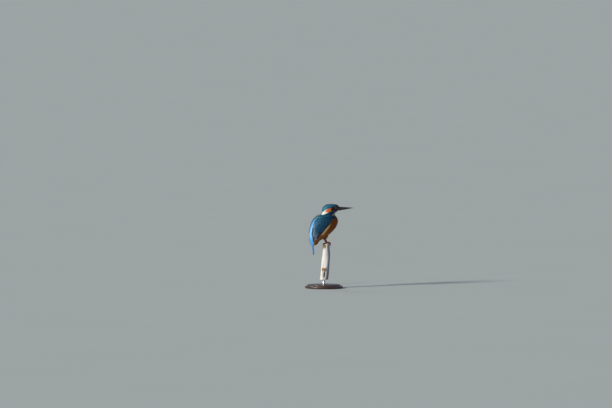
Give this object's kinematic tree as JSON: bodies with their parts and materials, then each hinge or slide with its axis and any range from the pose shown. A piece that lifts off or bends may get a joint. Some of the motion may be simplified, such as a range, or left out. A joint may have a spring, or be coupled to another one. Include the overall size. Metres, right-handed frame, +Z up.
{
  "type": "common kingfisher",
  "caption": "Life-size adult male common kingfisher, perched upright and alert on the cut top of a short stick, head turned to its right, on a plain display stand.",
  "frame": {"origin": "centre of the stand base's underside", "axes": "+Z up, +X the way the bird's body faces, -Y the bird's right side"},
  "size_m": [0.1109, 0.088, 0.1943],
  "materials": {
    "plumage_blue": "close-lying teal to navy feathers with paler blue spots and a silky sheen",
    "plumage_azure": "bright azure back, rump and tail feathers with a silky sheen",
    "plumage_orange": "warm chestnut-orange body feathers, soft and matt",
    "plumage_white": "creamy white throat and neck feathers, soft and matt",
    "bill_horn": "blackish horn, satin, with a faint grain along the bill",
    "eye": "very dark brown, wet gloss",
    "foot_skin": "coral red scaled skin, satin",
    "claw_horn": "blackish horn, satin",
    "stick": "bleached bare wood with fine cracks along it and a brown branch stub",
    "stand_wood": "dark stained turned wood, satin varnish",
    "stand_steel": "plain brushed steel"
  },
  "bodies": {
    "root": {"head": "plumage_blue", "neck": "plumage_white", "trunk": "plumage_orange", "bill_upper": "bill_horn", "bill_lower": "bill_horn", "tail": "plumage_azure", "eye_right": "eye", "wing_coverts_right": "plumage_blue", "wing_flight_right": "plumage_blue", "thigh_right": "plumage_orange", "tarsus_right": "foot_skin", "foot_right": "foot_skin", "claw_hind_right": "claw_horn", "claw_inner_right": "claw_horn", "claw_middle_right": "claw_horn", "claw_outer_right": "claw_horn", "eye_left": "eye", "wing_coverts_left": "plumage_blue", "wing_flight_left": "plumage_blue", "thigh_left": "plumage_orange", "tarsus_left": "foot_skin", "foot_left": "foot_skin", "claw_hind_left": "claw_horn", "claw_inner_left": "claw_horn", "claw_middle_left": "claw_horn", "claw_outer_left": "claw_horn", "perch": "stick", "stand_base": "stand_wood", "stand_rod": "stand_steel"}
  },
  "joints": []
}
